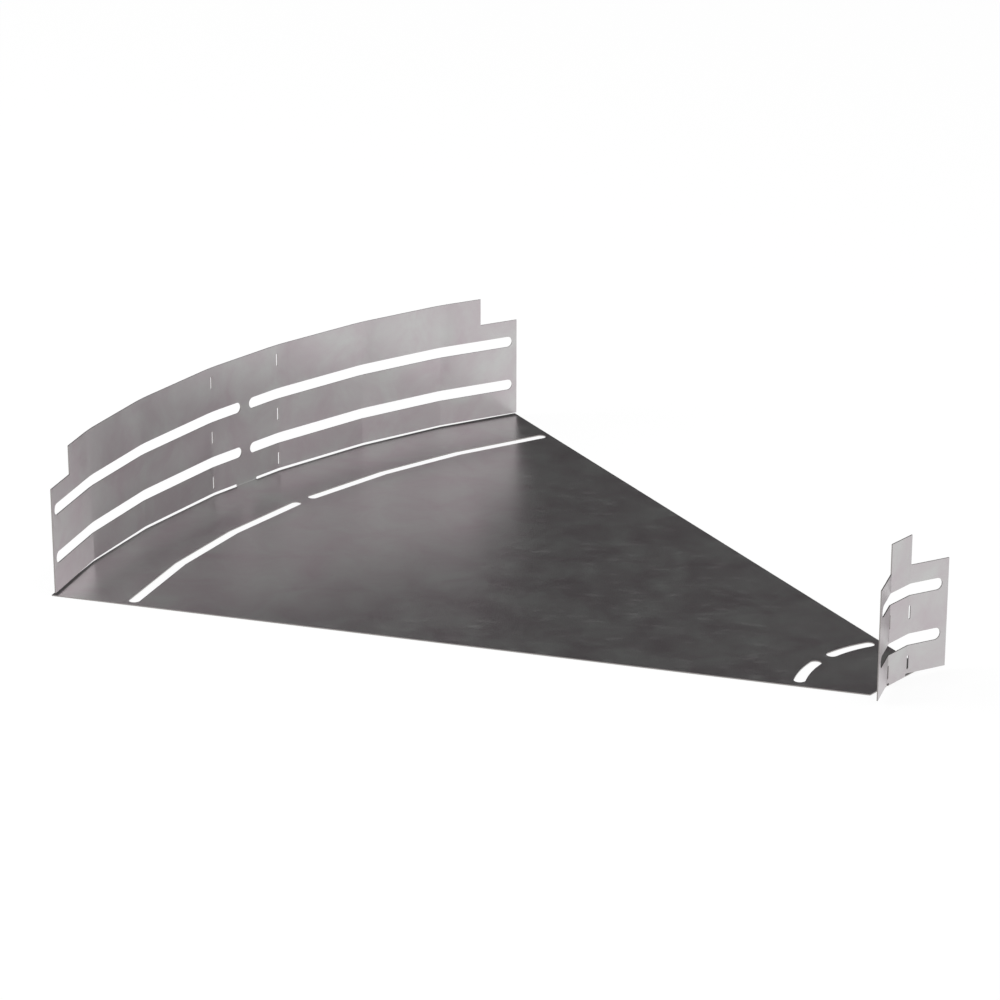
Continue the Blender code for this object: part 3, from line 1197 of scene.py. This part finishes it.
    def build(self, mesh: bpy.types.Mesh, rolled: bpy.types.Material,
              cut: bpy.types.Material) -> bpy.types.Mesh:
        """Fold the blank up.

        Args:
            mesh: The scored blank.
            rolled: Finish of the sheet's two faces.
            cut: Finish of its cut edges.

        Returns:
            The folded bend, with X still measured from the bend centre.
        """
        values = {
            "Thickness": self.sheet.thickness,
            "Fold radius": self.sheet.fold_radius,
            "Bridge edge": self.inner.bridge / 2,
            "Face line": self.inner.face_x,
            "Tolerance": TINY,
            "Rolled face": rolled,
            "Cut face": cut,
        }
        for label, wall in (("Outer", self.outer), ("Inner", self.inner)):
            values[f"{label} fold line"] = wall.fold_x
            values[f"{label} crease angle"] = wall.crease
            values[f"{label} crease radius"] = wall.crease_radius
            values[f"{label} crease growth"] = wall.crease_growth
            for number, mark in enumerate(wall.marks, 1):
                values[f"{label} crease {number}"] = mark
        return run_tree(place("scored_blank", mesh), self.tree(), values)


@dataclass
class TrayBend:
    """The whole bend, one folded sheet.

    Attributes:
        turn: Angle between its two open ends.
        width: Width over both walls, along an open end.
        sheet: The steel it is folded from.
        openings: The walls' slots and slits.
        rim_angle: Edges sharper than this get the soft rim.
        flat_angle: Edges flatter than this are shaded as if round.
    """

    turn: float = math.radians(45.0)
    width: float = 0.6
    sheet: Sheet = field(default_factory=Sheet)
    openings: Openings = field(default_factory=Openings)
    rim_angle: float = math.radians(50.0)
    flat_angle: float = math.radians(40.0)

    def build(self) -> bpy.types.Object:
        """Punch, score, fold and deburr the bend, and put it where the CAD's sheet is.

        Returns:
            The finished piece.
        """
        half_turn = self.turn / 2
        inner = InnerWall(self.sheet, self.openings, half_turn)
        end = inner.end_apothem + self.width - self.sheet.thickness
        outer = OuterWall(self.sheet, self.openings, half_turn, end_apothem=end)
        floor = Floor(outer, inner, half_turn)
        rolled, cut = ColdRolledSteel().build(), PunchedEdge().build()
        blank = PunchPress(self.sheet, self.openings, outer, inner, floor).build(rolled, cut)
        brake = PressBrake(self.sheet, outer, inner)
        brake.score(blank)
        folded = self.deburr(brake.build(blank, rolled, cut))
        self.ease(folded, outer)
        piece = place("folded_sheet", folded)
        self.stand(piece)
        return piece

    def deburr(self, mesh: bpy.types.Mesh) -> bpy.types.Mesh:
        """Give the cut edges their soft rim, and shade the flats flat and the round ends round.

        Args:
            mesh: The folded bend.

        Returns:
            The same with its final surface.
        """
        raw = place("raw_bend", mesh)
        rim = raw.modifiers.new("edge_break", "BEVEL")
        rim.width = self.sheet.edge_break
        rim.segments = self.sheet.edge_steps
        rim.limit_method = "ANGLE"
        rim.angle_limit = self.rim_angle
        rim.use_clamp_overlap = True
        mesh = settle(raw)
        mesh.shade_smooth()
        mesh.set_sharp_from_angle(angle=self.flat_angle)
        raw = place("raw_bend", mesh)
        even = raw.modifiers.new("even_shading", "WEIGHTED_NORMAL")
        even.mode = "FACE_AREA"
        even.weight = 100  # The largest face at a corner decides how it is shaded.
        even.keep_sharp = True
        return settle(raw)

    @staticmethod
    def ease(mesh: bpy.types.Mesh, wall: Wall) -> None:
        """Turn the normals of a wall as its springy sheet turns, with the corners where they are.

        Args:
            mesh: The folded bend, changed in place.
            wall: The wall, on the positive side of X.
        """
        plan, foot = mesh.uv_layers[PLAN_MAP].data, wall.flat_x(wall.foot)
        normals = [normal.vector.copy() for normal in mesh.corner_normals]
        for loop, normal in zip(mesh.loops, normals):
            x, y = plan[loop.index].uv
            if x > foot - TINY:
                turn = wall.eased_turn(abs(y), mesh.vertices[loop.vertex_index].co.z)
                normal.rotate(Quaternion((0.0, 0.0, 1.0), math.copysign(turn, y)))
        mesh.normals_split_custom_set(normals)

    @staticmethod
    def stand(piece: bpy.types.Object) -> None:
        """Move the mesh so that the middle of its box is where the CAD node's is.

        Args:
            piece: The bend, changed in place.
        """
        low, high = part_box(NODE)
        xs = [vert.co.x for vert in piece.data.vertices]
        shift = ((low.x + high.x) - (min(xs) + max(xs))) / 2
        for vert in piece.data.vertices:
            vert.co.x += shift


@dataclass(frozen=True)
class Patch:
    """A stretch of the studio's walls that is brighter or darker than what is behind it.

    Attributes:
        bearing: Direction of its middle from the bend, in degrees from X towards Y.
        core: Angle to each side of that, in degrees, over which it is full.
        edge: Angle at which it has faded away.
        low: Brightness near the floor.
        high: Brightness further up.
    """

    bearing: float
    core: float
    edge: float
    low: float
    high: float


@dataclass(frozen=True)
class Lamp:
    """One soft lamp that points at the bend.

    It lights the floor. The steel mirrors the studio's walls and ceiling instead, from any side.

    Attributes:
        spot: Where it hangs.
        size: Its width and height.
        level: How bright its face is, as a multiple of white.
    """

    spot: tuple[float, float, float]
    size: tuple[float, float]
    level: float

    def hang(self, name: str) -> bpy.types.Object:
        """Hang the lamp.

        Args:
            name: The lamp's name.

        Returns:
            The lamp, in its place.
        """
        light = bpy.data.lights.new(name, "AREA")
        light.shape = "RECTANGLE"
        light.size, light.size_y = self.size
        light.energy = self.level * math.pi * light.size * light.size_y
        hung = place(name, light)
        hung.location = self.spot
        hung.rotation_euler = (-Vector(self.spot)).to_track_quat("-Z", "Y").to_euler()
        hung.visible_glossy = False
        return hung


@dataclass(frozen=True)
class StudioPaper:
    """Matt white background paper: the same white from any side, but for the bend's soft shadow.

    Attributes:
        colour: Its colour.
        roughness: Its roughness. Uncoated paper has no gloss.
        shadow: Share of its own shading that shows under its white.
        glow: Strength of that white, enough to make up for the share of shading.
    """

    colour: str = "#F4F4F4"
    roughness: float = 0.9
    shadow: float = 0.12
    glow: float = 1.02

    def build(self) -> bpy.types.Material:
        """Make the material.

        Returns:
            A paper that is white to the eye, in the steel and through it, and matt to all other light.
        """
        material = bpy.data.materials.new("white_studio_paper")
        material.use_nodes = True
        tree = material.node_tree
        shader = tree.nodes["Principled BSDF"]
        shader.inputs["Base Color"].default_value = linear(self.colour)
        shader.inputs["Roughness"].default_value = self.roughness
        shader.inputs["Specular IOR Level"].default_value = 0.0
        glow = add_node(tree, "ShaderNodeEmission", {"Color": linear(WHITE), "Strength": self.glow})
        rays = add_node(tree, "ShaderNodeLightPath").outputs
        values = {name: rays[name] for name in ("Is Camera Ray", "Is Glossy Ray", "Is Transmission Ray")}
        calculate(tree, values, (
            ("seen", "MAXIMUM", "Is Camera Ray", "Is Glossy Ray"),
            ("white", "MAXIMUM", "seen", "Is Transmission Ray"),
            ("share", "MULTIPLY", "white", 1.0 - self.shadow),
        ))
        mixed = add_node(tree, "ShaderNodeMixShader", {
            0: values["share"], 1: shader.outputs[0], 2: glow.outputs[0],
        })
        tree.links.new(mixed.outputs[0], tree.nodes["Material Output"].inputs["Surface"])
        return material


@dataclass
class Studio:
    """A studio with a bright side, a strip light, and a dark cloth across from the camera.

    Attributes:
        floor_half: Half the side of the paper floor.
        floor_drop: How far the paper lies under the bend, so that the two don't touch.
        paper: The floor's finish.
        key_lamp: The lamp that casts the bend's shadow.
        top_lamp: The lamp that softens it.
        plain: Brightness of the walls near the floor and further up, where nothing is hung.
        bright_side: The side from which the studio is lit.
        strip_light: The tall soft light beside the cloth.
        cloth: The dark cloth.
        split: Height over the horizon at which the lower part of the walls ends, and the upper begins.
        ceiling: Brightness of the ceiling.
        ceiling_edges: Height over the horizon at which the walls end, and at which the ceiling is full.
        air: Brightness of the studio's white on everything that isn't glossy.
    """

    floor_half: float = 12.0
    floor_drop: float = 0.2 * MM
    paper: StudioPaper = StudioPaper()
    key_lamp: Lamp = Lamp(spot=(1.75, 1.75, 1.15), size=(1.2, 1.2), level=8.0)
    top_lamp: Lamp = Lamp(spot=(-0.4, -0.3, 2.8), size=(1.8, 1.8), level=1.4)
    plain: tuple[float, float] = (0.58, 0.25)
    bright_side: Patch = Patch(bearing=165, core=0, edge=110, low=2.0, high=0.83)
    strip_light: Patch = Patch(bearing=-84, core=0, edge=21, low=3.6, high=1.9)
    cloth: Patch = Patch(bearing=-52, core=9, edge=29, low=0.065, high=0.065)
    split: tuple[float, float] = (math.radians(13), math.radians(25))
    ceiling: float = 0.87
    ceiling_edges: tuple[float, float] = (math.radians(38), math.radians(60))
    air: float = 0.7

    def build(self) -> bpy.types.Object:
        """Light the studio and lay its floor.

        Returns:
            The floor.
        """
        self.surround()
        self.key_lamp.hang("key_lamp")
        self.top_lamp.hang("top_lamp")
        return self.ground()

    def surround(self) -> None:
        """Make the world: white to the eye, with the studio's walls and ceiling for glossy rays."""
        world = bpy.data.worlds.new("white_studio")
        world.use_nodes = True
        bpy.context.scene.world = world
        tree = world.node_tree
        way = add_node(tree, "ShaderNodeTexCoord").outputs["Generated"]
        axes = add_node(tree, "ShaderNodeSeparateXYZ", {0: way}).outputs
        rays = add_node(tree, "ShaderNodeLightPath").outputs
        values = {axis: axes[axis] for axis in "XYZ"}
        values |= {name: rays[name] for name in ("Is Camera Ray", "Is Transmission Ray")}
        calculate(tree, values, (
            ("bearing", "ARCTAN2", "Y", "X"),
            ("seen", "MAXIMUM", "Is Camera Ray", "Is Transmission Ray"),
        ))
        lower, upper = self.plain
        for patch in (self.bright_side, self.strip_light, self.cloth):
            calculate(tree, values, (
                ("aside", "SUBTRACT", "bearing", math.radians(patch.bearing)),
                ("nearer way", "WRAP", "aside", math.pi, -math.pi),
                ("apart", "ABSOLUTE", "nearer way"),
            ))
            share = add_node(tree, "ShaderNodeMapRange", {
                "Value": values["apart"],
                "From Min": math.radians(patch.edge),
                "From Max": math.radians(patch.core),
            }, interpolation_type="SMOOTHSTEP").outputs["Result"]
            lower, upper = [
                add_node(tree, "ShaderNodeMix", {
                    "Factor": share, "A": behind, "B": hung,
                }, data_type="FLOAT").outputs["Result"]
                for behind, hung in ((lower, patch.low), (upper, patch.high))
            ]
        level = lower
        for (start, end), above in ((self.split, upper), (self.ceiling_edges, self.ceiling)):
            share = add_node(tree, "ShaderNodeMapRange", {
                "Value": values["Z"], "From Min": math.sin(start), "From Max": math.sin(end),
            }, interpolation_type="SMOOTHSTEP")
            level = add_node(tree, "ShaderNodeMix", {
                "Factor": share.outputs["Result"], "A": level, "B": above,
            }, data_type="FLOAT").outputs["Result"]
        level = add_node(tree, "ShaderNodeMix", {
            "Factor": rays["Is Glossy Ray"], "A": self.air, "B": level,
        }, data_type="FLOAT").outputs["Result"]
        level = add_node(tree, "ShaderNodeMix", {
            "Factor": values["seen"], "A": level, "B": 1.0,
        }, data_type="FLOAT").outputs["Result"]
        background = tree.nodes["Background"]
        background.inputs["Color"].default_value = linear(WHITE)
        tree.links.new(level, background.inputs["Strength"])

    def ground(self) -> bpy.types.Object:
        """Lay the paper floor.

        Returns:
            The floor.
        """
        mesh = bpy.data.meshes.new("studio_floor")
        half = self.floor_half
        corners = [(-half, -half, 0.0), (half, -half, 0.0), (half, half, 0.0), (-half, half, 0.0)]
        mesh.from_pydata(corners, [], [(0, 1, 2, 3)])
        mesh.materials.append(self.paper.build())
        floor = place("studio_floor", mesh)
        floor.location.z = -self.floor_drop
        return floor


@dataclass
class Camera:
    """The camera, where the photograph was taken from.

    Attributes:
        spot: Its place.
        target: The point it looks at.
        focal_pixels: Focal length in pixels of the picture.
        picture: Width of the picture in pixels.
        sensor: Width of the sensor in millimetres.
    """

    spot: tuple[float, float, float] = (-1.5848, 1.9541, 0.9981)
    target: tuple[float, float, float] = (0.1328, -0.0956, 0.0008)
    focal_pixels: float = 3748.26
    picture: int = 1000
    sensor: float = 36.0

    def build(self) -> bpy.types.Object:
        """Set the camera up, and make it the scene's.

        Returns:
            The camera.
        """
        data = bpy.data.cameras.new("photo_camera")
        data.sensor_width = self.sensor
        data.lens = self.focal_pixels * self.sensor / self.picture
        camera = place("photo_camera", data)
        camera.location = self.spot
        look = Vector(self.target) - Vector(self.spot)
        camera.rotation_euler = look.to_track_quat("-Z", "Y").to_euler()
        bpy.context.scene.camera = camera
        return camera


def main() -> None:
    """Build the bend and its studio, and note the bend's face count and the camera's lens."""
    logging.basicConfig(level=logging.INFO, format="%(name)s: %(message)s")
    bpy.context.scene.view_settings.view_transform = "Standard"
    bend = TrayBend().build()
    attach(bend, BODY)
    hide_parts(NODE)
    log.info("%s: %d faces", bend.name, len(bend.data.polygons))
    Studio().build()
    camera = Camera().build()
    log.info("camera lens %.2f mm", camera.data.lens)


if __name__ == "__main__":
    main()
